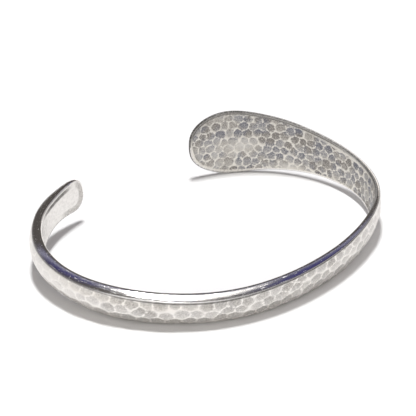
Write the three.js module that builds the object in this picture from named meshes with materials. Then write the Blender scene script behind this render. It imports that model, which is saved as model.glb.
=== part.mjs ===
// A spoon bangle: an open oval cuff forged from one strip of silver, wide and thin at the spoon-shaped
// end, narrow and thick round the front, and spread a little again at the small end.
// Units are millimetres, +Z is up. The cuff lies on its side as it rests by itself, long axis along X,
// with the gap between its ends facing +Y. The origin is the middle of its box, at the base.
import * as THREE from 'three';

const STRIP_LENGTH = 144; // along the inner face, end to end

// One row for each section, from the spoon's tip to the small end.
//   arc    where the section is, along the inner face
//   turn   degrees that the strip has been bent round by there, clockwise from +X
//   width  across the strip, between its two edges
//   edge   thickness at the edges
//   dome   how far the middle of the outer face stands beyond the edges
//   rise   how far the section's middle lies above the cuff's middle plane
const SECTIONS = [
  { arc: 0, turn: 11, width: 12.4, edge: 0.8, dome: 0.2, rise: 0.4 },
  { arc: 8, turn: 26.5, width: 13.3, edge: 0.8, dome: 0.2, rise: 0.15 },
  { arc: 16, turn: 45, width: 11.3, edge: 0.8, dome: 0.2, rise: 0.05 },
  { arc: 26, turn: 70.5, width: 8.6, edge: 0.8, dome: 0.3, rise: -0.25 },
  { arc: 37, turn: 102, width: 7, edge: 1, dome: 0.65, rise: -0.25 },
  { arc: 49, turn: 144, width: 6.8, edge: 0.95, dome: 0.65, rise: -0.05 },
  { arc: 61, turn: 164, width: 6.6, edge: 1.3, dome: 0.45, rise: -0.05 },
  { arc: 75, turn: 182, width: 6.3, edge: 1.75, dome: 0.4, rise: 0.1 },
  { arc: 90, turn: 209, width: 6, edge: 2.35, dome: 0.7, rise: -0.05 },
  { arc: 104, turn: 232.5, width: 6.3, edge: 2.2, dome: 1, rise: -0.2 },
  { arc: 116, turn: 263, width: 5.75, edge: 1.9, dome: 0.75, rise: 0.05 },
  { arc: 128, turn: 308.5, width: 6.1, edge: 1.75, dome: 0.65, rise: 0.4 },
  { arc: 136, turn: 332, width: 5.6, edge: 1.9, dome: 0.35, rise: 0.5 },
  { arc: STRIP_LENGTH, turn: 347, width: 7, edge: 0.8, dome: 0.1, rise: 0.25 },
];

// Each end is rounded off over its last length, as a superellipse: a power of 2 is a plain ellipse,
// and a higher one is blunter.
const SPOON_END = { length: 9.9, power: 2.5, steps: 18 };
const SMALL_END = { length: 3.2, power: 2.3, steps: 12 };
const BODY_STEPS = 104; // sections between the two rounded ends

const FLARE = 0.09; // the cuff opens upwards like a cone: outwards by this much for each mm of height
const INNER_ROUND = 0.3; // radius of the edge's corner on the inner face
const OUTER_ROUND_START = 0.45; // where the edge starts to round off to the outer face, in edge thicknesses
const OUTER_ROUND_DROP = 0.34; // how far down it rounds, in edge thicknesses
const FULL_FORM_WIDTH = 4; // sections narrower than this, at the ends, lose their dome in proportion
const INNER_ROUND_STEPS = 2;
const OUTER_ROUND_STEPS = 4;
const INNER_FACE_STEPS = 4;
const OUTER_FACE_STEPS = 8;

// The cuff lies on the spoon's lower edge and on the band's, so its middle plane slopes up to the spoon.
const SLOPE_TO_SPOON_SIDE = 0.0219; // rise for each mm along +X
const SLOPE_TO_GAP = 0.0729; // rise for each mm along +Y

/** A column of the table as a smooth function of arc: a cubic in each interval, with its slope at a
    row taken from the row's two neighbours. */
function column(name) {
  const last = SECTIONS.length - 1;
  const slope = (row) => {
    const before = SECTIONS[Math.max(row - 1, 0)];
    const after = SECTIONS[Math.min(row + 1, last)];
    return (after[name] - before[name]) / (after.arc - before.arc);
  };
  return (arc) => {
    const next = SECTIONS.findIndex((section) => section.arc > arc);
    const row = next < 0 ? last - 1 : Math.max(next - 1, 0);
    const from = SECTIONS[row];
    const to = SECTIONS[row + 1];
    const span = to.arc - from.arc;
    const t = (arc - from.arc) / span;
    const held = (1 - t) ** 2 * (1 + 2 * t) * from[name] + t ** 2 * (3 - 2 * t) * to[name];
    return held + span * t * (1 - t) * ((1 - t) * slope(row) - t * slope(row + 1));
  };
}

const turnAt = column('turn');
const widthAt = column('width');
const edgeAt = column('edge');
const domeAt = column('dome');
const riseAt = column('rise');

/** The inner face's route seen from above, as a function of arc: steps of the direction summed up. */
function innerRoute() {
  const stepsPerMm = 20;
  const count = STRIP_LENGTH * stepsPerMm;
  const step = 1 / stepsPerMm;
  const points = [new THREE.Vector2(0, 0)];
  for (let i = 0; i < count; i += 1) {
    const heading = THREE.MathUtils.degToRad(-turnAt((i + 0.5) * step));
    const last = points[points.length - 1];
    points.push(new THREE.Vector2(last.x + Math.cos(heading) * step, last.y + Math.sin(heading) * step));
  }
  return (arc) => {
    const place = THREE.MathUtils.clamp(arc * stepsPerMm, 0, count - 1e-9);
    const i = Math.floor(place);
    return points[i].clone().lerp(points[i + 1], place - i);
  };
}

const routeAt = innerRoute();

/** The strip's outline before it is bent: its arc and half its width at each station, ends rounded. */
function outlineStations() {
  const stations = [];
  const roundedEnd = ({ length, power, steps }, arcFromEnd) => {
    for (let i = 0; i <= steps; i += 1) {
      const angle = ((i / steps) * Math.PI) / 2;
      const fromEnd = length * (1 - Math.cos(angle) ** (2 / power));
      const arc = arcFromEnd(fromEnd);
      stations.push({ arc, half: (widthAt(arc) / 2) * Math.sin(angle) ** (2 / power) });
    }
  };
  roundedEnd(SPOON_END, (fromEnd) => fromEnd);
  const bodyLength = STRIP_LENGTH - SPOON_END.length - SMALL_END.length;
  for (let i = 1; i < BODY_STEPS; i += 1) {
    const arc = SPOON_END.length + (bodyLength * i) / BODY_STEPS;
    stations.push({ arc, half: widthAt(arc) / 2 });
  }
  const smallEnd = stations.length;
  roundedEnd(SMALL_END, (fromEnd) => STRIP_LENGTH - fromEnd);
  return [...stations.slice(0, smallEnd), ...stations.slice(smallEnd).reverse()];
}

/** The rounded edge's profile, from the inner face to the outer: depth is how far out from the inner
    face, and inset is how far in from the outline. Two quarter ellipses with a flat between them. */
function edgeProfile(edge) {
  const profile = [];
  const outerStart = edge * OUTER_ROUND_START;
  for (let i = 0; i <= INNER_ROUND_STEPS; i += 1) {
    const angle = ((i / INNER_ROUND_STEPS) * Math.PI) / 2;
    profile.push({ depth: INNER_ROUND * (1 - Math.cos(angle)), inset: INNER_ROUND * (1 - Math.sin(angle)) });
  }
  for (let i = 0; i <= OUTER_ROUND_STEPS; i += 1) {
    const angle = ((i / OUTER_ROUND_STEPS) * Math.PI) / 2;
    profile.push({
      depth: outerStart + (edge - outerStart) * Math.sin(angle),
      inset: edge * OUTER_ROUND_DROP * (1 - Math.cos(angle)),
    });
  }
  return profile;
}

/** One closed section as points (arc, depth, height): up the inner face, over the top edge, down the
    domed outer face and under the bottom edge. */
function sectionPoints(station, before, after) {
  const along = new THREE.Vector2(after.arc - before.arc, after.half - before.half).normalize();
  const edge = edgeAt(station.arc);
  const rise = riseAt(station.arc);
  const dome = domeAt(station.arc) * Math.min(1, (2 * station.half) / FULL_FORM_WIDTH);
  const top = edgeProfile(edge).map(({ depth, inset }) => ({
    arc: station.arc + along.y * inset,
    depth,
    height: Math.max(station.half - along.x * inset, 0),
  }));
  const bottom = top.map((point) => ({ ...point, height: -point.height })).reverse();
  const ladder = (from, to, steps, bulge) => {
    const points = [];
    for (let i = 1; i < steps; i += 1) {
      const t = i / steps;
      points.push({
        arc: from.arc,
        depth: from.depth + bulge * (1 - (1 - 2 * t) ** 2),
        height: from.height + (to.height - from.height) * t,
      });
    }
    return points;
  };
  const outerFace = ladder(top[top.length - 1], bottom[0], OUTER_FACE_STEPS, dome);
  const innerFace = ladder(bottom[bottom.length - 1], top[0], INNER_FACE_STEPS, 0);
  return [...top, ...outerFace, ...bottom, ...innerFace].map((point) => ({
    ...point,
    height: point.height + rise,
  }));
}

/** Bends a point of the flat strip round the route and flares it. */
function bent({ arc, depth, height }) {
  const heading = THREE.MathUtils.degToRad(-turnAt(arc));
  const outwards = new THREE.Vector2(-Math.sin(heading), Math.cos(heading));
  const place = routeAt(arc).addScaledVector(outwards, depth + FLARE * height);
  return new THREE.Vector3(place.x, place.y, height);
}

/** The turn that lays the cuff's flat middle plane on its resting slope. */
function restingTurn() {
  const levelUp = new THREE.Vector3(0, 0, 1);
  const leaningUp = new THREE.Vector3(-SLOPE_TO_SPOON_SIDE, -SLOPE_TO_GAP, 1).normalize();
  return new THREE.Quaternion().setFromUnitVectors(levelUp, leaningUp);
}

/** A closed surface through the sections, which all have the same number of points. Points that fall
    together, where the end sections fold flat, are welded, and the empty triangles there left out. */
function closedLoft(sections) {
  const positions = [];
  const known = new Map();
  const weld = (point) => {
    const key = point.toArray().map((value) => Math.round(value * 1e4)).join();
    if (!known.has(key)) {
      known.set(key, positions.length / 3);
      positions.push(point.x, point.y, point.z);
    }
    return known.get(key);
  };
  const rings = sections.map((section) => section.map(weld));
  const triangles = [];
  const addTriangle = (a, b, c) => {
    if (a !== b && b !== c && c !== a) triangles.push(a, b, c);
  };
  for (let i = 1; i < rings.length; i += 1) {
    const [ring, nextRing] = [rings[i - 1], rings[i]];
    for (let j = 0; j < ring.length; j += 1) {
      const k = (j + 1) % ring.length;
      addTriangle(ring[j], nextRing[j], nextRing[k]);
      addTriangle(ring[j], nextRing[k], ring[k]);
    }
  }
  const geometry = new THREE.BufferGeometry();
  geometry.setAttribute('position', new THREE.Float32BufferAttribute(positions, 3));
  geometry.setIndex(triangles);
  return geometry;
}

/** The whole cuff, leaned to its resting slope, with the middle of its box over the origin and its
    lowest point on the ground. */
function forgedCuffGeometry() {
  const stations = outlineStations();
  const sections = stations.map((station, i) => {
    const before = stations[Math.max(i - 1, 0)];
    const after = stations[Math.min(i + 1, stations.length - 1)];
    return sectionPoints(station, before, after).map(bent);
  });
  const geometry = closedLoft(sections);
  geometry.applyQuaternion(restingTurn());
  geometry.computeBoundingBox();
  const { min, max } = geometry.boundingBox;
  geometry.translate(-(min.x + max.x) / 2, -(min.y + max.y) / 2, -min.z);
  geometry.computeVertexNormals();
  return geometry;
}

const wornSilver = new THREE.MeshStandardMaterial({ color: 0xc9c6c1, roughness: 0.32, metalness: 1 });

const forgedCuff = new THREE.Mesh(forgedCuffGeometry(), wornSilver);
forgedCuff.name = 'forged_cuff';

const spoonBangle = new THREE.Group();
spoonBangle.add(forgedCuff);

export default spoonBangle;
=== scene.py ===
import bmesh
import bpy
import numpy as np
from mathutils import Matrix, Vector


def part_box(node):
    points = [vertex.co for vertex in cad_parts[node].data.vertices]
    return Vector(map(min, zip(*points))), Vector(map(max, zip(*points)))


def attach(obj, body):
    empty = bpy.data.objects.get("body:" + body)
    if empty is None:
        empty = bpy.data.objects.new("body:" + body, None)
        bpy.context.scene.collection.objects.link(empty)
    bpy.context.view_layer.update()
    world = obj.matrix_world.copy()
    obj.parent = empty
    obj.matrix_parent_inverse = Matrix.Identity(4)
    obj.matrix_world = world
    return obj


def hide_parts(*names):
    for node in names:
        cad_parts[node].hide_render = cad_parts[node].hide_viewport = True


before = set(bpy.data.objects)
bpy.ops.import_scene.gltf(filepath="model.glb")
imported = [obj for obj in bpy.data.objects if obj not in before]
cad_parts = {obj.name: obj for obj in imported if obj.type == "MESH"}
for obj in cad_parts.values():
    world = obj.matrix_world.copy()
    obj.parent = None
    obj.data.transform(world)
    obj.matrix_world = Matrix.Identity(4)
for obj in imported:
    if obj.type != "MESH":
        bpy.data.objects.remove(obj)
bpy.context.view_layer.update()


# ---------------------------------------------------------------------------------------------------
# The camera. A long lens at arm's length, looking down at the side of the cuff that is opposite the
# gap, a little from the small end's side.
CAMERA_TARGET = Vector((0.0074, 0.0119, 0.0))
CAMERA_TURN = np.radians(-36.42)  # from looking along +Y, anticlockwise seen from above
CAMERA_ELEVATION = np.radians(31.90)
CAMERA_DISTANCE = 0.4114
CAMERA_LENS = 192.44  # millimetres, on a frame 36 mm wide
FRAME_WIDTH = 36.0

lens = bpy.data.cameras.new("camera")
lens.lens = CAMERA_LENS
lens.sensor_width = FRAME_WIDTH
lens.clip_start = 0.01
lens.clip_end = 50.0
camera = bpy.data.objects.new("camera", lens)
bpy.context.scene.collection.objects.link(camera)
ground_ahead = Vector((-np.sin(CAMERA_TURN), np.cos(CAMERA_TURN), 0.0))
looking = ground_ahead * np.cos(CAMERA_ELEVATION) - Vector((0.0, 0.0, np.sin(CAMERA_ELEVATION)))
camera.location = CAMERA_TARGET - looking * CAMERA_DISTANCE
camera.rotation_euler = looking.to_track_quat("-Z", "Y").to_euler()
bpy.context.scene.camera = camera


# ---------------------------------------------------------------------------------------------------
# The floor. A sheet of white paper, matt, much wider than the view, so that nothing shows but white.
FLOOR_SIDE = 8.0
FLOOR_WHITE = (0.86, 0.86, 0.86, 1.0)

corner = FLOOR_SIDE / 2
floor_mesh = bpy.data.meshes.new("white_paper_floor")
floor_mesh.from_pydata(
    [(-corner, -corner, 0.0), (corner, -corner, 0.0), (corner, corner, 0.0), (-corner, corner, 0.0)],
    [],
    [(0, 1, 2, 3)],
)
floor = bpy.data.objects.new("white_paper_floor", floor_mesh)
bpy.context.scene.collection.objects.link(floor)
paper = bpy.data.materials.new("white_paper")
paper.use_nodes = True
paper_shader = paper.node_tree.nodes["Principled BSDF"]
paper_shader.inputs["Base Color"].default_value = FLOOR_WHITE
paper_shader.inputs["Roughness"].default_value = 1.0
paper_shader.inputs["Specular IOR Level"].default_value = 0.0
floor_mesh.materials.append(paper)


# ---------------------------------------------------------------------------------------------------
# The light. A small soft lamp nearly overhead draws the cuff's shadow on the paper. The rest comes from
# the room: a soft white panel overhead that gleams on the polished edge, a dim ring round it with a
# touch of violet-blue, a paler band just ahead of it, an unlit ceiling behind it and far ahead, and
# white walls: one behind the camera, and low ones at both sides and ahead on the right.
LAMP_HEIGHT = 1.0
LAMP_WIDTH = 0.13
LAMP_LENGTH = 0.18  # along the camera's line of sight over the ground
LAMP_TILT = np.radians(5.4)  # from straight above, away from the camera
LAMP_LEFT = np.radians(2.0)  # and to its left
LAMP_POWER = 8.8

ground_left = Vector((-ground_ahead.y, ground_ahead.x, 0.0))
lamp_way = ground_ahead * np.tan(LAMP_TILT) + ground_left * np.tan(LAMP_LEFT) + Vector((0.0, 0.0, 1.0))
lamp_back = lamp_way.normalized()
lamp_side = ground_ahead.cross(lamp_back).normalized()
lamp_turn = Matrix((lamp_side, lamp_back.cross(lamp_side), lamp_back)).transposed().to_4x4()
lamp = bpy.data.lights.new("small_lamp", "AREA")
lamp.shape = "RECTANGLE"
lamp.size = LAMP_WIDTH
lamp.size_y = LAMP_LENGTH
lamp.energy = LAMP_POWER
hung_lamp = bpy.data.objects.new("small_lamp", lamp)
bpy.context.scene.collection.objects.link(hung_lamp)
hung_lamp.matrix_world = Matrix.Translation(lamp_way * LAMP_HEIGHT) @ lamp_turn
room = bpy.data.worlds.new("dim_room")
bpy.context.scene.world = room
room.use_nodes = True


def shader_node(tree, kind, inputs, **settings):
    """A node of the tree, with its settings, and its inputs linked or given as plain values."""
    node = tree.nodes.new(kind)
    for name, value in settings.items():
        setattr(node, name, value)
    for name, value in inputs.items():
        if isinstance(value, bpy.types.NodeSocket):
            tree.links.new(value, node.inputs[name])
        else:
            node.inputs[name].default_value = value
    return node


def maths(tree, operation, first_value, second_value=0.0):
    """Two numbers put together by a Math node."""
    return shader_node(
        tree, "ShaderNodeMath", {0: first_value, 1: second_value}, operation=operation
    ).outputs["Value"]


def ranged(tree, value, low, high, to_low, to_high):
    """value carried smoothly from low..high to to_low..to_high, and held beyond."""
    return shader_node(
        tree,
        "ShaderNodeMapRange",
        {"Value": value, "From Min": low, "From Max": high, "To Min": to_low, "To Max": to_high},
        interpolation_type="SMOOTHSTEP",
    ).outputs["Result"]


def mixed(tree, share, first_colour, second_colour):
    """Two colours mixed by share."""
    return shader_node(
        tree, "ShaderNodeMix", {0: share, 6: first_colour, 7: second_colour}, data_type="RGBA"
    ).outputs[2]


def room_part(way):
    """How much of a direction of the room goes the given way."""
    return shader_node(
        room.node_tree,
        "ShaderNodeVectorMath",
        {0: room_direction, 1: way},
        operation="DOT_PRODUCT",
    ).outputs["Value"]


room_direction = room.node_tree.nodes.new("ShaderNodeTexCoord").outputs["Generated"]
to_right = room_part(-ground_left)
to_ahead = room_part(ground_ahead)
to_up = room_part(Vector((0.0, 0.0, 1.0)))
# The sky over the cuff is seen from below as a disc of radius 1, and its colours follow the distance
# from the panel's middle. A pair of numbers says where on the disc, or how far up a wall, a part of the
# room starts and ends.
PANEL_TO_RIGHT = 0.06
PANEL_TO_AHEAD = 0.14
RAMP_REACH = 1.2
SKY_COLOURS = [
    (0.00, (1.40, 1.38, 1.36, 1.0)),
    (0.145, (1.35, 1.33, 1.31, 1.0)),
    (0.19, (0.80, 0.78, 0.78, 1.0)),
    (0.225, (0.34, 0.335, 0.35, 1.0)),
    (0.265, (0.17, 0.17, 0.21, 1.0)),
    (0.35, (0.09, 0.09, 0.17, 1.0)),
    (0.46, (0.060, 0.056, 0.175, 1.0)),
    (0.60, (0.05, 0.045, 0.14, 1.0)),
    (0.74, (0.06, 0.054, 0.08, 1.0)),
    (1.10, (0.10, 0.09, 0.08, 1.0)),
]
PANEL_RIM = (0.20, 0.28)  # from the panel's middle
CEILING_COLOUR = (0.09, 0.082, 0.078, 1.0)
CEILING_BEHIND = (-0.04, 0.12)
CEILING_SLANT = 0.2  # the unlit part behind ends that much sooner, for each step to the right
CEILING_AHEAD = (0.40, 0.54)
BAND_COLOUR = (0.30, 0.30, 0.40, 1.0)
BAND_START = (0.32, 0.38)
BAND_END = (0.42, 0.48)
WALL_COLOUR = (1.14, 1.10, 1.06, 1.0)
WALL_BEHIND = (-0.60, -0.45)
RIGHT_WALL_TOP = (0.20, 0.32)
RIGHT_WALL_START = (-0.10, 0.15)
SIDE_WALL_TOP = (0.32, 0.45)
SIDE_WALL_END = (0.10, 0.30)
across_sky = maths(room.node_tree, "SUBTRACT", to_right, PANEL_TO_RIGHT)
along_sky = maths(room.node_tree, "SUBTRACT", to_ahead, PANEL_TO_AHEAD)
across_squared = maths(room.node_tree, "MULTIPLY", across_sky, across_sky)
along_squared = maths(room.node_tree, "MULTIPLY", along_sky, along_sky)
from_panel = maths(
    room.node_tree, "SQRT", maths(room.node_tree, "ADD", across_squared, along_squared)
)
sky_share = maths(room.node_tree, "DIVIDE", from_panel, RAMP_REACH)
sky_ramp = shader_node(room.node_tree, "ShaderNodeValToRGB", {"Fac": sky_share})
sky_stops = sky_ramp.color_ramp.elements
while len(sky_stops) < len(SKY_COLOURS):
    sky_stops.new(1.0)
for stop, (distance, colour) in zip(sky_stops, SKY_COLOURS):
    stop.position = distance / RAMP_REACH
    stop.color = colour
off_panel = ranged(room.node_tree, from_panel, *PANEL_RIM, 0.0, 1.0)
slant = maths(room.node_tree, "MULTIPLY", to_right, CEILING_SLANT)
slanting = maths(room.node_tree, "ADD", to_ahead, slant)
unlit_behind = ranged(room.node_tree, slanting, *CEILING_BEHIND, 1.0, 0.0)
unlit_ahead = ranged(room.node_tree, to_ahead, *CEILING_AHEAD, 0.0, 1.0)
unlit_part = maths(room.node_tree, "MAXIMUM", unlit_behind, unlit_ahead)
unlit_ceiling = maths(room.node_tree, "MULTIPLY", unlit_part, off_panel)
sky = mixed(room.node_tree, unlit_ceiling, sky_ramp.outputs["Color"], CEILING_COLOUR)
band_start = ranged(room.node_tree, to_ahead, *BAND_START, 0.0, 1.0)
band_end = ranged(room.node_tree, to_ahead, *BAND_END, 1.0, 0.0)
pale_part = maths(room.node_tree, "MULTIPLY", band_start, band_end)
pale_band = maths(room.node_tree, "MULTIPLY", pale_part, off_panel)
sky = mixed(room.node_tree, pale_band, sky, BAND_COLOUR)
wall_behind = ranged(room.node_tree, to_ahead, *WALL_BEHIND, 1.0, 0.0)
right_wall_low = ranged(room.node_tree, to_up, *RIGHT_WALL_TOP, 1.0, 0.0)
right_wall_along = ranged(room.node_tree, to_right, *RIGHT_WALL_START, 0.0, 1.0)
right_wall = maths(room.node_tree, "MULTIPLY", right_wall_low, right_wall_along)
side_wall_low = ranged(room.node_tree, to_up, *SIDE_WALL_TOP, 1.0, 0.0)
side_wall_along = ranged(room.node_tree, to_ahead, *SIDE_WALL_END, 1.0, 0.0)
side_walls = maths(room.node_tree, "MULTIPLY", side_wall_low, side_wall_along)
low_walls = maths(room.node_tree, "MAXIMUM", side_walls, right_wall)
wall = maths(room.node_tree, "MAXIMUM", wall_behind, low_walls)
room_colour = mixed(room.node_tree, wall, sky, WALL_COLOUR)
room.node_tree.links.new(room_colour, room.node_tree.nodes["Background"].inputs["Color"])
bpy.context.scene.view_settings.view_transform = "Standard"


# ---------------------------------------------------------------------------------------------------
# The forged cuff. It is one strip of solid silver: the blank is drawn out, its ends are rounded, both
# faces are hammered with a small round-faced punch, and it is bent round an oval mandrel, which leaves
# it slightly flared. The edges are filed round and polished. Measures are in millimetres up to the mesh.
STRIP_LENGTH = 144.0
ARC, TURN, WIDTH, EDGE, DOME, RISE = range(6)
# Along the inner face from the spoon's tip: how far; degrees bent round by there, clockwise from +X;
# width; thickness at the edges; how far the outer face's middle stands out; height off the middle plane.
STRIP = np.array([
    (0.0, 11.0, 12.4, 0.8, 0.2, 0.4),
    (8.0, 26.5, 13.3, 0.8, 0.2, 0.15),
    (16.0, 45.0, 11.3, 0.8, 0.2, 0.05),
    (26.0, 70.5, 8.6, 0.8, 0.3, -0.25),
    (37.0, 102.0, 7.0, 1.0, 0.65, -0.25),
    (49.0, 144.0, 6.8, 0.95, 0.65, -0.05),
    (61.0, 164.0, 6.6, 1.3, 0.45, -0.05),
    (75.0, 182.0, 6.3, 1.75, 0.4, 0.1),
    (90.0, 209.0, 6.0, 2.35, 0.7, -0.05),
    (104.0, 232.5, 6.3, 2.2, 1.0, -0.2),
    (116.0, 263.0, 5.75, 1.9, 0.75, 0.05),
    (128.0, 308.5, 6.1, 1.75, 0.65, 0.4),
    (136.0, 332.0, 5.6, 1.9, 0.35, 0.5),
    (STRIP_LENGTH, 347.0, 7.0, 0.8, 0.1, 0.25),
])
SPOON_END_LENGTH = 9.9
SPOON_END_POWER = 2.5
SMALL_END_LENGTH = 3.2
SMALL_END_POWER = 2.3
FLARE = 0.09  # outwards for each millimetre of height
INNER_ROUND = 0.3  # radius of the corner between the edge and the inner face
SHOULDER_DROP = 0.34  # how far the edge slopes down to the outer face, in edge thicknesses
SHOULDER_POWER = 1.5
FULL_FORM_WIDTH = 4.0  # narrower than this, at the ends, the dome shrinks in proportion
SLOPE_TO_SPOON_SIDE = 0.0219  # the resting lean: the middle plane's rise for each millimetre along +X
SLOPE_TO_GAP = 0.0729  # and along +Y
STATIONS = 840
CORNER_STEPS = 4
SHOULDER_STEPS = 9
OUTER_FACE_STEPS = 32
INNER_FACE_STEPS = 56
ROUTE_STEP = 0.05


def strip_value(column, arc):
    """A column of STRIP at any arc: between two rows it is the cubic (1-t)^2 (1+2t) from + t^2 (3-2t) to
    + span t (1-t) ((1-t) slope_from - t slope_to), a row's slope being taken across its neighbours."""
    rows = STRIP[:, ARC]
    values = STRIP[:, column]
    number = np.arange(len(rows))
    before = np.maximum(number - 1, 0)
    after = np.minimum(number + 1, len(rows) - 1)
    slopes = (values[after] - values[before]) / (rows[after] - rows[before])
    row = np.clip(np.searchsorted(rows, arc, side="right") - 1, 0, len(rows) - 2)
    span = rows[row + 1] - rows[row]
    t = (arc - rows[row]) / span
    held = (1 - t) ** 2 * (1 + 2 * t) * values[row] + t**2 * (3 - 2 * t) * values[row + 1]
    return held + span * t * (1 - t) * ((1 - t) * slopes[row] - t * slopes[row + 1])


def smooth_step(value, start, end):
    """0 on start's side, 1 on end's side, and 3t^2 - 2t^3 between, with t the share of the way. It falls
    with value where start is the greater."""
    t = np.clip((value - start) / (end - start), 0.0, 1.0)
    return t * t * (3 - 2 * t)


def strip_outline(count):
    """Arc and half width at count points along the strip's outline, closer together by the root of the
    width where it is wide. Each end is a superellipse: length (1 - cos^(2/power)) in from the tip and
    width/2 sin^(2/power) to the side."""
    angle = np.linspace(0.0, np.pi / 2, 3000)
    spoon_arc = SPOON_END_LENGTH * (1 - np.cos(angle) ** (2 / SPOON_END_POWER))
    spoon_half = strip_value(WIDTH, spoon_arc) / 2 * np.sin(angle) ** (2 / SPOON_END_POWER)
    small_arc = STRIP_LENGTH - SMALL_END_LENGTH * (1 - np.cos(angle) ** (2 / SMALL_END_POWER))
    small_half = strip_value(WIDTH, small_arc) / 2 * np.sin(angle) ** (2 / SMALL_END_POWER)
    body_arc = np.arange(SPOON_END_LENGTH + ROUTE_STEP, STRIP_LENGTH - SMALL_END_LENGTH, ROUTE_STEP)
    arc = np.concatenate([spoon_arc, body_arc, small_arc[::-1]])
    half = np.concatenate([spoon_half, strip_value(WIDTH, body_arc) / 2, small_half[::-1]])
    steps = np.hypot(np.diff(arc), np.diff(half)) * np.sqrt(strip_value(WIDTH, arc[1:]))
    length = np.append(0.0, np.cumsum(steps))
    even = np.linspace(0.0, length[-1], count)
    return np.interp(even, length, arc), np.interp(even, length, half)


def edge_profile(edge):
    """The edge's profile at every station, from the inner face to the outer, as depth out from the
    inner face and inset from the outline: a quarter circle, then a shoulder that falls away as the
    share of the way across it, to the power SHOULDER_POWER."""
    corner_angle = np.linspace(0.0, np.pi / 2, CORNER_STEPS + 1)
    corner_depth = INNER_ROUND * (1 - np.cos(corner_angle)) + 0 * edge
    corner_inset = INNER_ROUND * (1 - np.sin(corner_angle)) + 0 * edge
    across = np.linspace(0.0, 1.0, SHOULDER_STEPS + 1)[1:]
    shoulder_depth = INNER_ROUND + (edge - INNER_ROUND) * across
    shoulder_inset = edge * SHOULDER_DROP * across**SHOULDER_POWER
    depth = np.concatenate([corner_depth, shoulder_depth], axis=1)
    inset = np.concatenate([corner_inset, shoulder_inset], axis=1)
    return depth, inset


station_arc, station_half = strip_outline(STATIONS)
outline_way = np.stack([np.gradient(station_arc), np.gradient(station_half)])
outline_way /= np.hypot(outline_way[0], outline_way[1])
way_along, way_up = outline_way[:, :, None]
edge = strip_value(EDGE, station_arc)[:, None]
full_form = np.minimum(1.0, 2 * station_half / FULL_FORM_WIDTH)
dome = (strip_value(DOME, station_arc) * full_form)[:, None]
rise = strip_value(RISE, station_arc)[:, None]
profile_depth, profile_inset = edge_profile(edge)
top_arc = station_arc[:, None] + way_up * profile_inset
top_height = np.maximum(station_half[:, None] - way_along * profile_inset, 0.0)

outer_t = np.linspace(0.0, 1.0, OUTER_FACE_STEPS + 1)[None, 1:-1]
outer_half = top_height[:, -1:]
outer_arc = top_arc[:, -1:] + 0 * outer_t
outer_height = outer_half * (1 - 2 * outer_t)
outer_depth = edge + dome * (1 - (1 - 2 * outer_t) ** 2)
inner_t = np.linspace(0.0, 1.0, INNER_FACE_STEPS + 1)[None, 1:-1]
inner_half = top_height[:, :1]
inner_arc = top_arc[:, :1] + 0 * inner_t
inner_height = inner_half * (2 * inner_t - 1)

# The hammering. The marks stand in staggered rows, not quite regular, and overlap, so that a sharp net
# of ridges is left between them. Wear has polished the net; the hollows keep a grey-blue tarnish. Here
# and below, a pair of numbers says where something starts and where it is complete, in millimetres.
INNER_PITCH = 1.75
INNER_ROW_GAP = 1.52
INNER_PUNCH = 2.9  # radius of the punch's ball face
INNER_DEPTH = 0.22
INNER_RIM = 0.15  # plain metal left between the marks and the edge
UPPER_BORDER = 0.6  # and this much more along the upper edge where the spoon narrows
UPPER_BORDER_MIDDLE = 29.0
UPPER_BORDER_REACH = 8.0
LOWER_BORDER = 0.25  # and along the lower edge near the spoon's tip
LOWER_BORDER_END = (8.0, 14.0)
INNER_FAINTER = 0.6  # how much shallower the marks are at the small end
INNER_FADE = (98.0, 122.0)  # arcs over which they and their tarnish fade
INNER_SEED = 11
INNER_FULL_AT = 0.45  # the share of a mark's depth at which its tarnish is full
INNER_SPREAD = 1.15  # how near to the ridges the tarnish comes
OUTER_PITCH = 2.6
OUTER_ROW_GAP = 1.45
OUTER_PUNCH = 4.2
OUTER_DEPTH = 0.18
OUTER_FAINTER = 0.85
OUTER_FADE = (108.0, 124.0)
OUTER_SEED = 23
OUTER_FULL_AT = 0.85
OUTER_SPREAD = 1.25
ROWS_REACH = 6.5  # rows are set out this far from the middle line on both sides
ROWS_SHIFT = 0.25  # how far up they are shifted, in row gaps
STRAY = 0.2  # how far a mark strays from its row, in pitches
DEPTHS = (0.82, 1.15)  # the least and the greatest depth, in usual depths
DARKNESSES = (0.62, 1.0)
RIM_FADE = 0.25
TIP_FADE = (1.0, 5.0)
UNDER_FADE = (0.1, 0.9)  # in shares of the edge's shoulder
MARK_UPPER_SHADE = 0.18  # how much darker a mark's upper half is painted, as painted shade
ONE_MARK = 0.7  # about half the width of a mark
DOME_SHARE = 0.6  # the outer face's length is taken this far up its dome


def punch_marks(length, half_width, pitch, row_gap, depth, seed):
    """The marks on a face, one in each row of the result: place along, place across, depth, darkness.
    They stand pitch apart in rows row_gap apart, every other row moved on by half a pitch, and each
    strays at random by up to STRAY of a pitch each way."""
    chance = np.random.default_rng(seed)
    rows = int(np.ceil(half_width / row_gap))
    row, place = np.meshgrid(np.arange(-rows, rows + 1), np.arange(-1, int(length / pitch) + 2))
    row = row.ravel()
    place = place.ravel()
    stray = chance.uniform(-STRAY, STRAY, (2, len(row))) * pitch
    along = (place + 0.5 * (row % 2)) * pitch + stray[0]
    across = (row + ROWS_SHIFT) * row_gap + stray[1]
    deep = depth * chance.uniform(*DEPTHS, len(row))
    dark = chance.uniform(*DARKNESSES, len(row))
    return np.stack([along, across, deep, dark], axis=1)


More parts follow.
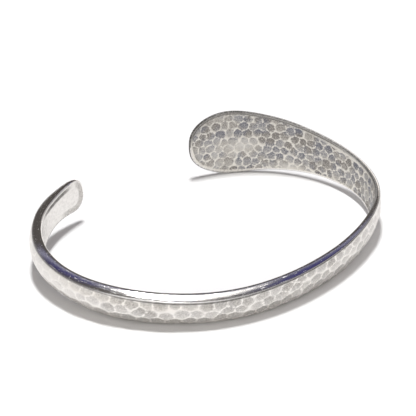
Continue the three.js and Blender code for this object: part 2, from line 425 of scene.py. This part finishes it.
def hammered(along, across, marks, punch, stretch, full_at):
    """How deep each point lies, its mark's lead over the next one, and its mark's darkness. A mark is the
    bowl deep - r^2 / (2 punch), r being the distance from its centre, shortened along the strip by
    stretch. The deepest bowl wins, and its lead grows evenly away from a ridge, where it is 0. The
    darkness is full where the bowl is full_at of its depth, and a little more on the upper side."""
    depth = np.zeros_like(along)
    next_depth = np.zeros_like(along)
    darkness = np.zeros_like(along)
    for mark_along, mark_across, deep, dark in marks:
        r_squared = ((along - mark_along) / stretch) ** 2 + (across - mark_across) ** 2
        bowl = deep - r_squared / (2 * punch)
        # Painted shade: each mark is darkened towards its upper side, where the hollow faces down, away
        # from the lamp.
        upper = 1 + MARK_UPPER_SHADE * (across - mark_across) / ONE_MARK
        own_darkness = dark * upper * smooth_step(bowl / deep, 0.0, full_at)
        darkness = np.where(bowl > depth, own_darkness, darkness)
        next_depth = np.maximum(next_depth, np.minimum(bowl, depth))
        depth = np.maximum(depth, bowl)
    return depth, depth - next_depth, darkness


def room_to_rim(arc, height, face_arc, face_half):
    """About how far a point of a face is from the face's outline: for a straight outline it is
    a b / sqrt(a^2 + b^2), where a is the way to it across the strip and b the way along the strip. An
    end of the strip reaches from its tip to its widest station."""
    across = face_half - np.abs(height)
    spoon_rows = np.argmax(face_half[: STATIONS // 4]) + 1
    small_rows = STATIONS - STATIONS // 8 + np.argmax(face_half[-(STATIONS // 8) :])
    spoon_arc = np.interp(np.abs(height), face_half[:spoon_rows, 0], face_arc[:spoon_rows, 0])
    small_arc = np.interp(np.abs(height), face_half[small_rows:, 0][::-1], face_arc[small_rows:, 0][::-1])
    along = np.maximum(np.minimum(arc - spoon_arc, small_arc - arc), 0.0)
    return across * along / np.maximum(np.hypot(across, along), 1e-9)


inner_marks = punch_marks(
    STRIP_LENGTH, ROWS_REACH, INNER_PITCH, INNER_ROW_GAP, INNER_DEPTH, INNER_SEED
)
inner_stretch = INNER_PITCH / INNER_ROW_GAP * np.sqrt(0.75)  # 1 where the marks make even triangles
inner_hollow, inner_lead, inner_dark = hammered(
    inner_arc, inner_height, inner_marks, INNER_PUNCH, inner_stretch, INNER_FULL_AT
)
inner_room = room_to_rim(inner_arc, inner_height, top_arc[:, :1], inner_half)
upper_border = UPPER_BORDER * np.exp(-(((inner_arc - UPPER_BORDER_MIDDLE) / UPPER_BORDER_REACH) ** 2))
lower_border = LOWER_BORDER * (1 - smooth_step(inner_arc, *LOWER_BORDER_END))
inner_rim = INNER_RIM + upper_border * (inner_height > 0) + lower_border * (inner_height < 0)
inner_fade = smooth_step(inner_room, inner_rim, inner_rim + RIM_FADE)
inner_strength = 1 - INNER_FAINTER * smooth_step(inner_arc, *INNER_FADE)
inner_depth = inner_hollow * inner_fade * inner_strength
inner_from_ridge = INNER_SPREAD * inner_lead * inner_fade * INNER_PUNCH / INNER_ROW_GAP

# On the outer face the metal is longer, so the rows are set out along the dome's own length.
along_arc = station_arc[:, None]
bend = -np.gradient(-np.radians(strip_value(TURN, station_arc)), station_arc)
outer_reach = edge[:, 0] + DOME_SHARE * dome[:, 0]
outer_gain = np.append(0.0, np.cumsum(np.diff(station_arc) * ((outer_reach * bend)[1:])))[:, None]
outer_along = outer_arc + outer_gain
outer_marks = punch_marks(
    outer_along.max(), ROWS_REACH, OUTER_PITCH, OUTER_ROW_GAP, OUTER_DEPTH, OUTER_SEED
)
outer_stretch = OUTER_PITCH / OUTER_ROW_GAP * np.sqrt(0.75)
outer_hollow, outer_lead, outer_dark = hammered(
    outer_along, outer_height, outer_marks, OUTER_PUNCH, outer_stretch, OUTER_FULL_AT
)
outer_room = room_to_rim(outer_arc, outer_height, top_arc[:, -1:], outer_half)
outer_strength = 1 - OUTER_FAINTER * smooth_step(along_arc, *OUTER_FADE)
from_end = np.minimum(along_arc, STRIP_LENGTH - along_arc)
off_the_ends = smooth_step(from_end, *TIP_FADE)
outer_fade = smooth_step(outer_room, 0.0, RIM_FADE)
outer_fade = np.where(outer_height < 0, np.maximum(outer_fade, off_the_ends), outer_fade)
outer_depth = outer_depth - outer_hollow * outer_fade * outer_strength
outer_cover = np.maximum(smooth_step(outer_room, 0.0, 0.1), off_the_ends)
outer_from_ridge = OUTER_SPREAD * outer_lead * outer_cover * OUTER_PUNCH / OUTER_ROW_GAP

# Underneath, the marks of the outer face run on over the rounding, which leaves its outline scalloped.
under_hollow, under_lead, under_dark = hammered(
    top_arc + outer_gain, -top_height, outer_marks, OUTER_PUNCH, outer_stretch, OUTER_FULL_AT
)
shoulder_share = np.clip((profile_depth - INNER_ROUND) / (edge - INNER_ROUND), 0.0, 1.0)
under_fade = smooth_step(shoulder_share, *UNDER_FADE) * off_the_ends
under_depth = profile_depth - under_hollow * under_fade * outer_strength
under_from_ridge = OUTER_SPREAD * under_lead * under_fade * OUTER_PUNCH / OUTER_ROW_GAP


def round_the_strip(top, outer, inner, below=None):
    """One value for each point round every section: up over the top edge from the inner face to the
    outer, down the outer face, back under the bottom edge, and up the inner face. The bottom edge has
    the top edge's values unless it is given its own, below."""
    bottom = (top if below is None else below)[:, ::-1]
    return np.concatenate([top, outer, bottom, inner], axis=1)


def bent(arc, depth, height):
    """A point of the flat strip, bent round the route: the route's point at arc, moved outwards by depth
    + FLARE height, with height as its z. The route sums up steps of the direction -turn(arc)."""
    step_arc = np.arange(0.0, STRIP_LENGTH, ROUTE_STEP) + ROUTE_STEP / 2
    step_way = -np.radians(strip_value(TURN, step_arc))
    route_arc = np.append(0.0, step_arc + ROUTE_STEP / 2)
    route_x = np.append(0.0, np.cumsum(np.cos(step_way)) * ROUTE_STEP)
    route_y = np.append(0.0, np.cumsum(np.sin(step_way)) * ROUTE_STEP)
    way = -np.radians(strip_value(TURN, arc))
    out = depth + FLARE * height
    x = np.interp(arc, route_arc, route_x) - np.sin(way) * out
    y = np.interp(arc, route_arc, route_y) + np.cos(way) * out
    return np.stack([x, y, height], axis=-1)


level_up = Vector((0.0, 0.0, 1.0))
leaning_up = Vector((-SLOPE_TO_SPOON_SIDE, -SLOPE_TO_GAP, 1.0))
resting_turn = np.array(level_up.rotation_difference(leaning_up).to_matrix())
strip_arc = round_the_strip(top_arc, outer_arc, inner_arc)
strip_depth = round_the_strip(profile_depth, outer_depth, inner_depth, under_depth)
strip_height = round_the_strip(top_height, outer_height, inner_height, -top_height) + rise
places = bent(strip_arc, strip_depth, strip_height) @ resting_turn.T / 1000
cad_low, cad_high = (np.array(corner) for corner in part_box("forged_cuff"))
own_low = places.min(axis=(0, 1))
own_high = places.max(axis=(0, 1))
places += (cad_low + cad_high) / 2 - (own_low + own_high) / 2
places[..., 2] += cad_low[2] - places[..., 2].min()

around = places.shape[1]
first = np.arange(STATIONS - 1)[:, None] * around + np.arange(around)[None, :]
beside = np.arange(STATIONS - 1)[:, None] * around + (np.arange(around)[None, :] + 1) % around
quads = np.stack([first, first + around, beside + around, beside], axis=-1).reshape(-1, 4)
cuff_mesh = bpy.data.meshes.new("forged_silver_cuff")
cuff_mesh.from_pydata(places.reshape(-1, 3), [], quads)


def point_attribute(mesh, name, values):
    """Stores one number, or one vector, for each point of the mesh."""
    kind, field = ("FLOAT_VECTOR", "vector") if values.shape[-1] == 3 else ("FLOAT", "value")
    stored = mesh.attributes.new(name, kind, "POINT")
    stored.data.foreach_set(field, values.astype(np.float32).ravel())


# The tarnish. It is a little darker towards the upper edge. It has been rubbed off in patches, at the
# tip, where fingers hold the cuff, and on both faces towards the small end. On the outer face towards the
# spoon it is painted lighter as a painted sheen, for the bright glancing reflection there.
INNER_TARNISH = 1.07
OUTER_TARNISH = 0.68
DARKER_UPWARDS = 0.03  # for each millimetre of height
TIP_RUBBED = 0.14
TIP_END = (4.0, 9.0)
OUTER_RUBBED = 0.7
OUTER_RUBBED_START = (100.0, 118.0)
SPOON_SIDE_SHEEN_SHARE = 0.6  # what the back of the spoon has of it
SPOON_SIDE_SHEEN_END = (50.0, 64.0)
WORN_PATCHES = [  # arc, height, reach along, reach across, how much of the tarnish is gone
    (9.5, -0.5, 4.2, 2.0, 0.55),
    (20.5, -4.8, 3.2, 1.2, 0.95),
    (6.0, 5.4, 3.0, 0.8, 0.25),
]
kept = np.ones_like(inner_arc)
for patch_arc, patch_height, reach_along, reach_across, gone in WORN_PATCHES:
    patch_along = (inner_arc - patch_arc) / reach_along
    patch_across = (inner_height - patch_height) / reach_across
    kept = kept * (1 - gone * np.exp(-(patch_along**2 + patch_across**2)))
held = 1 + DARKER_UPWARDS * inner_height - TIP_RUBBED * (1 - smooth_step(inner_arc, *TIP_END))
inner_old = INNER_TARNISH * kept * held * (1 - smooth_step(inner_arc, *INNER_FADE))
outer_old = OUTER_TARNISH * (1 - OUTER_RUBBED * smooth_step(along_arc, *OUTER_RUBBED_START))
# Painted sheen: the outer face keeps less tarnish towards the spoon, lighter for the glancing reflection
# there.
past_spoon_sheen = smooth_step(along_arc, *SPOON_SIDE_SHEEN_END)
outer_old = outer_old * (SPOON_SIDE_SHEEN_SHARE + (1 - SPOON_SIDE_SHEEN_SHARE) * past_spoon_sheen)

# At the small end the inner face's border is rubbed down to a bevel that stays grey, and a darker line
# runs inside its upper edge. There the ridges carry tarnish too.
BEVEL_WIDTH = (1.15, 0.75)
BEVEL_START = (141.0, 142.5)
LOWER_BEVEL_START = (136.0, 139.0)
BEVEL_TARNISH = 0.5
LINE_WIDTH = (1.0, 0.7)
LINE_START = (128.0, 134.0)
LINE_END = (138.0, 142.0)
LINE_TARNISH = 0.9
RIDGE_COVER = 0.3
lower_bevel = smooth_step(inner_arc, *LOWER_BEVEL_START) * (inner_height < 0)
bevel_along = np.maximum(smooth_step(inner_arc, *BEVEL_START), lower_bevel)
small_bevel = smooth_step(inner_room, *BEVEL_WIDTH) * bevel_along
line_start = smooth_step(inner_arc, *LINE_START) * (inner_height > 0)
upper_line = smooth_step(inner_room, *LINE_WIDTH) * line_start
upper_line = upper_line * (1 - smooth_step(inner_arc, *LINE_END))
bevel_dark = np.maximum(BEVEL_TARNISH * small_bevel, LINE_TARNISH * upper_line)
inner_dark = inner_old * inner_dark * (1 - small_bevel) + bevel_dark
ridge_cover = RIDGE_COVER * np.maximum(small_bevel, upper_line)
inner_from_ridge = np.maximum(inner_from_ridge, ridge_cover)
outer_dark = outer_old * outer_dark

# A thin grey film dulls the inner face where the band is narrow, at the small end and along the spoon's
# upper edge. The same grey is painted on the edge near the spoon's tip as a painted dark reflection, and
# underneath, along the band, as painted shade where the rounding faces the shadow on the paper.
NARROW_FILM = 0.3
NARROW_START = (34.0, 46.0)
NARROW_END = (90.0, 112.0)
SMALL_END_FILM = 0.42
SMALL_END_START = (96.0, 112.0)
SMALL_TIP_CLEARER = 0.27
SMALL_TIP_START = (124.0, 134.0)
RIM_FILM = 0.4
RIM_FILM_WIDTH = (1.4, 0.4)
RIM_FILM_END = (24.0, 34.0)
UPPER_SIDE_START = (0.3, 3.2)  # heights
# The edge near the spoon's tip is painted grey as a painted dark reflection.
TIP_EDGE_SHADE = 0.4
TIP_EDGE_SHADE_END = (8.0, 18.0)
# Underneath the band the grey is painted shade, where the rounding faces the shadow on the paper.
UNDERSIDE_SHADE = 0.7
UNDERSIDE_SHADE_START = (40.0, 60.0)
UNDERSIDE_SHADE_EDGE = 0.95
edge_share = profile_depth / edge  # how far across the edge, from the inner face to the outer
narrow_end = 1 - smooth_step(inner_arc, *NARROW_END)
narrow_film = NARROW_FILM * (smooth_step(inner_arc, *NARROW_START) * narrow_end)
tip_film = SMALL_END_FILM - SMALL_TIP_CLEARER * smooth_step(inner_arc, *SMALL_TIP_START)
small_end_film = smooth_step(inner_arc, *SMALL_END_START) * tip_film
upper_side = smooth_step(inner_height, *UPPER_SIDE_START)
upper_rim = smooth_step(inner_room, *RIM_FILM_WIDTH) * upper_side
upper_rim = upper_rim * (1 - smooth_step(inner_arc, *RIM_FILM_END))
inner_film = np.maximum(np.maximum(narrow_film, small_end_film), RIM_FILM * upper_rim)
tip_edge_shade = TIP_EDGE_SHADE * (1 - smooth_step(along_arc, *TIP_EDGE_SHADE_END)) + 0 * edge_share
underside_shade = UNDERSIDE_SHADE * smooth_step(along_arc, *UNDERSIDE_SHADE_START) * (edge_share < UNDERSIDE_SHADE_EDGE)

# Dark lines are painted along the spoon where its edge would mirror dark things, as painted dark
# reflections: in the corner between the edge and the inner face, on the inner face's border, and over
# most of the edge at the tip. A fine dark line follows the edge's outer border all the way round, partly
# dirt in the arris and partly a painted dark reflection, and underneath the spoon the whole edge is
# painted dark as painted shade, for the shadow it faces. Places across the edge are given in shares of
# it, from the inner face to the outer.
CORNER_LINE_MIDDLE = 0.16
CORNER_LINE_REACH = 0.25
CORNER_LINE_END = (42.0, 56.0)
TIP_SHADE_START = (-0.03, 0.06)
TIP_SHADE_CLEARER = 0.6
TIP_SHADE_OUTWARDS = (0.55, 0.8)
TIP_SHADE_END = (9.0, 21.0)
SPOON_BORDER_LINE = (0.84, 0.95)
BORDER_DIRT_AND_SHADE = 0.85
BORDER_LINE = (0.74, 0.92)
BORDER_CLEARER = 0.6
BORDER_CLEARER_START = (98.0, 112.0)
UNDER_SPOON_SHADE_START = (0.02, 0.09)
UNDER_SPOON_SHADE_END = (14.0, 40.0)
FACE_LINE_DIRT = 0.6
FACE_BORDER_SHADE = 0.95
FACE_BORDER_WIDTH = (0.38, 0.14)
FACE_BORDER_END = (26.0, 36.0)
at_the_tip = 1 - smooth_step(along_arc, *TIP_SHADE_END)
corner_line = np.exp(-(((edge_share - CORNER_LINE_MIDDLE) / CORNER_LINE_REACH) ** 2))
tip_clearer = 1 - TIP_SHADE_CLEARER * smooth_step(edge_share, *TIP_SHADE_OUTWARDS)
tip_shade = smooth_step(edge_share, *TIP_SHADE_START) * tip_clearer
corner_shade = np.maximum(corner_line, at_the_tip * tip_shade)
spoon_shade = np.maximum(corner_shade, smooth_step(edge_share, *SPOON_BORDER_LINE))
spoon_shade = spoon_shade * (1 - smooth_step(along_arc, *CORNER_LINE_END))
border_dirt_and_shade = BORDER_DIRT_AND_SHADE * (1 - BORDER_CLEARER * smooth_step(along_arc, *BORDER_CLEARER_START))
edge_dirt_and_shade = np.maximum(spoon_shade, border_dirt_and_shade * smooth_step(edge_share, *BORDER_LINE))
under_spoon = 1 - smooth_step(along_arc, *UNDER_SPOON_SHADE_END)
under_spoon_shade = smooth_step(edge_share, *UNDER_SPOON_SHADE_START) * under_spoon
face_border = smooth_step(inner_room, *FACE_BORDER_WIDTH) * upper_side
face_border = face_border * (1 - smooth_step(inner_arc, *FACE_BORDER_END))
inner_dirt_and_shade = np.maximum(FACE_LINE_DIRT * upper_line, FACE_BORDER_SHADE * face_border)

# The edge is polished, up to its outer arris, where the tarnish of the outer face begins. At the small
# end the polish stops short of the inner corner.
ARRIS = 0.99
SATIN_CORNER = 0.13
SATIN_START = (126.0, 130.0)
OUTER_COOL = 0.3  # how much the outer face has of the inner one's blue and dullness
INNER_COOL_LOST = 0.9
arris = edge_share > ARRIS
satin_corner = (edge_share < SATIN_CORNER) * smooth_step(along_arc, *SATIN_START)
edge_polish = 1 - np.maximum(arris, satin_corner)
polish = round_the_strip(edge_polish, 0 * outer_depth, 0 * inner_depth, 1 - under_fade)
from_ridge = round_the_strip(
    arris * outer_from_ridge[:, :1], outer_from_ridge, inner_from_ridge, under_from_ridge
)
darkness = round_the_strip(arris * outer_dark[:, :1], outer_dark, inner_dark, outer_old * under_dark)
film_and_shade = round_the_strip(tip_edge_shade, 0 * outer_depth, inner_film, np.maximum(tip_edge_shade, underside_shade))
# The dark mask: painted shade and painted dark reflections along the spoon and the edge, with some dirt.
dirt_and_shade = round_the_strip(edge_dirt_and_shade, 0 * outer_depth, inner_dirt_and_shade, under_spoon_shade)
inner_cool = 1 - INNER_COOL_LOST * smooth_step(inner_arc, *INNER_FADE)
inside = round_the_strip(0 * profile_depth, OUTER_COOL + 0 * outer_depth, inner_cool)
unbent = np.stack([strip_arc, strip_depth, strip_height], axis=-1) / 1000
point_attribute(cuff_mesh, "polish", polish)
point_attribute(cuff_mesh, "from_ridge", from_ridge)
point_attribute(cuff_mesh, "inside", inside)
point_attribute(cuff_mesh, "darkness", darkness)
point_attribute(cuff_mesh, "dirt_and_shade", dirt_and_shade)
point_attribute(cuff_mesh, "film_and_shade", film_and_shade)
point_attribute(cuff_mesh, "unbent", unbent)

WELD = 1e-6
cuff_bmesh = bmesh.new()
cuff_bmesh.from_mesh(cuff_mesh)
bmesh.ops.remove_doubles(cuff_bmesh, verts=cuff_bmesh.verts, dist=WELD)
cuff_bmesh.to_mesh(cuff_mesh)
cuff_bmesh.free()
cuff_mesh.polygons.foreach_set("use_smooth", np.ones(len(cuff_mesh.polygons), dtype=bool))
cuff = bpy.data.objects.new("forged_silver_cuff", cuff_mesh)
bpy.context.scene.collection.objects.link(cuff)

# Silver: bright where it is polished or worn, grey-blue with tarnish in the hollows, satin on the
# faces, and on the edge a mirror gone soft with fine scratches, most of them along the strip, of which
# the few deep ones glint. The patterns lie on the strip as it was before it was bent.
BRIGHT_SILVER = (0.90, 0.88, 0.855, 1.0)
# The inner face's clean silver is darker than the outer's: partly worn dull, partly painted shade for the
# darker things the inside mirrors.
DULL_AND_SHADED_SILVER = (0.70, 0.675, 0.625, 1.0)
BLUE_TARNISH = (0.16, 0.165, 0.195, 1.0)
BROWN_TARNISH = (0.225, 0.206, 0.185, 1.0)
# Near-black of the painted dark reflections and painted shade, and of some dirt.
DIRT_AND_SHADE = (0.055, 0.052, 0.048, 1.0)
TARNISH_METALLIC = 0.4
FACE_ROUGHNESS = 0.36
HOLLOW_ROUGHNESS = 0.48
EDGE_ROUGHNESS = 0.085
SCRATCHED_ROUGHNESS = 0.27
DEEP_SCRATCH_ROUGHNESS = 0.5
DIRT_AND_SHADE_ROUGHNESS = 0.6
EVEN = (1.0, 1.0, 1.0)
RAGGED_GRAIN = 0.0004  # sizes of the grains, in metres: at the tarnish's ragged limits
SPECKLE_GRAIN = 0.00022  # in the tarnish
SMEAR_GRAIN = 0.0005  # in the film and the painted shade
HUE_GRAIN = 0.003  # from blue to brown
WRINKLE_GRAIN = 0.00045  # on the hammered faces
LONG_SCRATCH_GRAIN = 0.00008
SHORT_SCRATCH_GRAIN = 0.00017
CROSS_SCRATCH_GRAIN = 0.00012
NOISE_SPAN = (0.3, 0.7)  # what a noise's values mostly lie between
SMEAR_SPAN = (0.35, 0.65)
HUE_SPAN = (0.40, 0.60)
SPECKLES = (0.55, 1.25)  # the least and greatest factor on the tarnish
SMEARS = (0.4, 1.4)  # and on the film and the painted shade
BLUE_SHARES = (0.15, 1.0)
DIRT_AND_SHADE_SPECKLES = (0.8, 1.0)
RAGGED_REACH = 0.12  # how far the noise carries the tarnish's limit to and fro
TARNISH_LIMIT = (0.01, 0.21)  # the distance from a ridge over which the tarnish sets in
LIGHT_SCRATCHES = (0.57, 0.78)  # the noise values at which scratches start and are full
DEEP_SCRATCHES = (0.67, 0.75)

silver = bpy.data.materials.new("worn_silver")
silver.use_nodes = True
silver_tree = silver.node_tree
silver_shader = silver_tree.nodes["Principled BSDF"]


def attribute_of(name, output="Fac"):
    """The piece's own attribute of that name."""
    return shader_node(silver_tree, "ShaderNodeAttribute", {}, attribute_name=name).outputs[output]


def grain(stretch, size, detail):
    """Noise on the unbent strip, with grains of about size metres, stretched by so much each way."""
    scaled = shader_node(
        silver_tree,
        "ShaderNodeVectorMath",
        {0: attribute_of("unbent", "Vector"), 1: [1 / (size * part) for part in stretch]},
        operation="MULTIPLY",
    ).outputs["Vector"]
    return shader_node(
        silver_tree, "ShaderNodeTexNoise", {"Vector": scaled, "Scale": 1.0, "Detail": detail}
    ).outputs["Fac"]


ragged_noise = grain(EVEN, RAGGED_GRAIN, 3.0)
ragged = ranged(silver_tree, ragged_noise, *NOISE_SPAN, -RAGGED_REACH, RAGGED_REACH)
ridge_here = maths(silver_tree, "ADD", attribute_of("from_ridge"), ragged)
speckle = ranged(silver_tree, grain(EVEN, SPECKLE_GRAIN, 3.0), *NOISE_SPAN, *SPECKLES)
hollow_here = ranged(silver_tree, ridge_here, *TARNISH_LIMIT, 0.0, 1.0)
in_hollows = maths(silver_tree, "MULTIPLY", hollow_here, attribute_of("darkness"))
smears = ranged(silver_tree, grain((1.4, 1.0, 1.0), SMEAR_GRAIN, 3.0), *SMEAR_SPAN, *SMEARS)
film_and_shade_here = maths(silver_tree, "MULTIPLY", attribute_of("film_and_shade"), smears)
all_tarnish = maths(silver_tree, "MAXIMUM", in_hollows, film_and_shade_here)
tarnish = maths(silver_tree, "MULTIPLY", all_tarnish, speckle)
blue_share = ranged(silver_tree, grain(EVEN, HUE_GRAIN, 1.0), *HUE_SPAN, *BLUE_SHARES)
cool_share = maths(silver_tree, "MULTIPLY", blue_share, attribute_of("inside"))
tarnish_colour = mixed(silver_tree, cool_share, BROWN_TARNISH, BLUE_TARNISH)
clean = mixed(silver_tree, attribute_of("inside"), BRIGHT_SILVER, DULL_AND_SHADED_SILVER)
aged_colour = mixed(silver_tree, tarnish, clean, tarnish_colour)
dirt_and_shade_speckle = ranged(silver_tree, speckle, SPECKLES[0], 1.0, *DIRT_AND_SHADE_SPECKLES)
dirt_and_shade_here = maths(silver_tree, "MULTIPLY", attribute_of("dirt_and_shade"), dirt_and_shade_speckle)
colour = mixed(silver_tree, dirt_and_shade_here, aged_colour, DIRT_AND_SHADE)
silver_tree.links.new(colour, silver_shader.inputs["Base Color"])
covered = maths(silver_tree, "MAXIMUM", tarnish, dirt_and_shade_here)
metallic = ranged(silver_tree, covered, 0.0, 1.0, 1.0, TARNISH_METALLIC)
silver_tree.links.new(metallic, silver_shader.inputs["Metallic"])

long_scratches = grain((40.0, 1.0, 1.0), LONG_SCRATCH_GRAIN, 2.0)
short_scratches = grain((9.0, 1.0, 1.0), SHORT_SCRATCH_GRAIN, 2.0)
cross_scratches = grain((1.0, 10.0, 1.0), CROSS_SCRATCH_GRAIN, 2.0)
along_edge = maths(silver_tree, "MAXIMUM", long_scratches, short_scratches)
scratched = maths(silver_tree, "MAXIMUM", along_edge, cross_scratches)
clean_gloss = ranged(
    silver_tree, scratched, *LIGHT_SCRATCHES, EDGE_ROUGHNESS, SCRATCHED_ROUGHNESS
)
deep_gloss = ranged(silver_tree, scratched, *DEEP_SCRATCHES, 0.0, DEEP_SCRATCH_ROUGHNESS)
scratched_gloss = maths(silver_tree, "MAXIMUM", clean_gloss, deep_gloss)
dirt_and_shade_gloss = maths(silver_tree, "MULTIPLY", dirt_and_shade_here, DIRT_AND_SHADE_ROUGHNESS)
edge_gloss = maths(silver_tree, "MAXIMUM", scratched_gloss, dirt_and_shade_gloss)
face_gloss = ranged(silver_tree, covered, 0.0, 1.0, FACE_ROUGHNESS, HOLLOW_ROUGHNESS)
gloss = shader_node(
    silver_tree,
    "ShaderNodeMix",
    {0: attribute_of("polish"), 2: face_gloss, 3: edge_gloss},
    data_type="FLOAT",
).outputs[0]
silver_tree.links.new(gloss, silver_shader.inputs["Roughness"])
on_faces = maths(silver_tree, "SUBTRACT", 1.0, attribute_of("polish"))
wrinkles = maths(silver_tree, "MULTIPLY", grain((1.0, 1.0, 2.2), WRINKLE_GRAIN, 2.0), on_faces)
relief = None
for height, strength, distance in [
    (wrinkles, 0.5, 0.00010),
    (long_scratches, 0.3, 0.00002),
    (short_scratches, 0.3, 0.00003),
    (cross_scratches, 0.3, 0.00003),
]:
    bump = shader_node(
        silver_tree, "ShaderNodeBump", {"Height": height, "Strength": strength, "Distance": distance}
    )
    if relief:
        silver_tree.links.new(relief, bump.inputs["Normal"])
    relief = bump.outputs["Normal"]
silver_tree.links.new(relief, silver_shader.inputs["Normal"])
cuff_mesh.materials.append(silver)

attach(cuff, "root")
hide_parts("forged_cuff")
